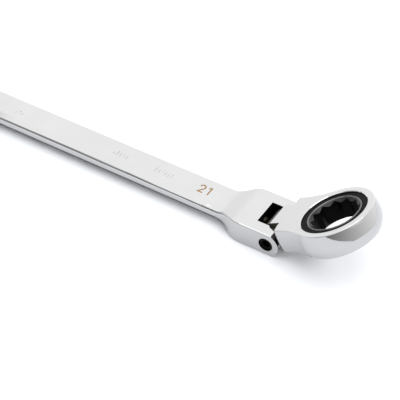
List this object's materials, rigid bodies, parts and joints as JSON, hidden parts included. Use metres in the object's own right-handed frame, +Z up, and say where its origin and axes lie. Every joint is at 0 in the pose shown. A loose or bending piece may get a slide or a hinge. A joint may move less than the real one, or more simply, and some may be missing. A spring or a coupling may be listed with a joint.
{
  "type": "flex-head ratcheting combination wrench",
  "caption": "Polished steel combination wrench with a flexing ring head that ratchets on a twelve-point socket, an open jaw at the other end and a bevelled shank.",
  "frame": {"origin": "middle of the bottom of the whole tool as it lies on a flat surface", "axes": "+X along the shank towards the ring head, +Z up, the hinge line of the head is parallel to Y"},
  "size_m": [0.2816, 0.0446, 0.0401],
  "materials": {
    "polished_steel": "polished",
    "black_gear": "black oxide",
    "black_ring": "black oxide",
    "black_screw": "black oxide",
    "tool_steel": "ground",
    "spring_steel": "drawn",
    "number_paint": "satin"
  },
  "bodies": {
    "handle": {"shank": "polished_steel", "pivot_screw": "black_screw", "detent_spring": "spring_steel", "size_number": "number_paint"},
    "head": {"head_housing": "polished_steel", "gear_snap_ring": "black_ring", "pawl_spring": "spring_steel"},
    "gear": {"drive_gear": "black_gear"},
    "pawl": {"pawl": "tool_steel"},
    "ball": {"detent_ball": "tool_steel"}
  },
  "joints": [
    {"name": "head_flex", "type": "hinge", "parent": "handle", "child": "head", "pos_m": [0.09127, 0, 0.00628], "axis": [0, -1, 0], "range_deg": [-120, 60]},
    {"name": "gear_spin", "type": "hinge", "parent": "head", "child": "gear", "pos_m": [0.12173, 0, 0.02387], "axis": [-0.5, 0, 0.866], "range_deg": [0, 1440]},
    {"name": "pawl_slide", "type": "slide", "parent": "head", "child": "pawl", "axis": [-0.866, 0, -0.5], "range_m": [0, 0.0007], "stiffness_N_per_m": 400, "springref_m": -0.002, "deforming": ["pawl_spring"]},
    {"name": "detent_slide", "type": "slide", "parent": "handle", "child": "ball", "axis": [-1, 0, 0], "range_m": [0, 0.00035], "stiffness_N_per_m": 2000, "springref_m": -0.002, "deforming": ["detent_spring"]}
  ]
}
